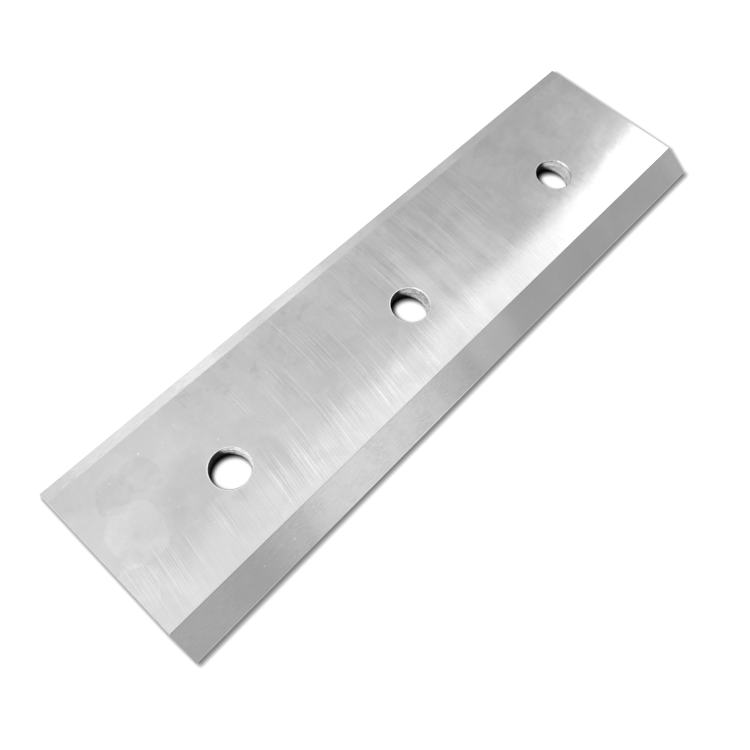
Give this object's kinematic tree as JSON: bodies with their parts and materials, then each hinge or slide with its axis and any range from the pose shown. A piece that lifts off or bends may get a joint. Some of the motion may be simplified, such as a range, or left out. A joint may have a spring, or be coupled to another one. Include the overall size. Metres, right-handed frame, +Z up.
{
  "type": "wood chipper blade",
  "caption": "Flat ground steel chipper knife with a long single bevel along one side and a row of plain bolt holes, clamped in a chipper's rotor.",
  "frame": {"origin": "on the underside, on the axis of the middle bolt hole, which is also the centre of the underside", "axes": "+X along the length, +Y towards the back edge with the cutting edge at -Y, +Z up out of the top face"},
  "size_m": [0.4, 0.107, 0.0095],
  "materials": {
    "ground_steel": "surface ground, fine grinding marks across the top face and along the bevel"
  },
  "bodies": {
    "root": {"blade": "ground_steel"}
  },
  "joints": []
}
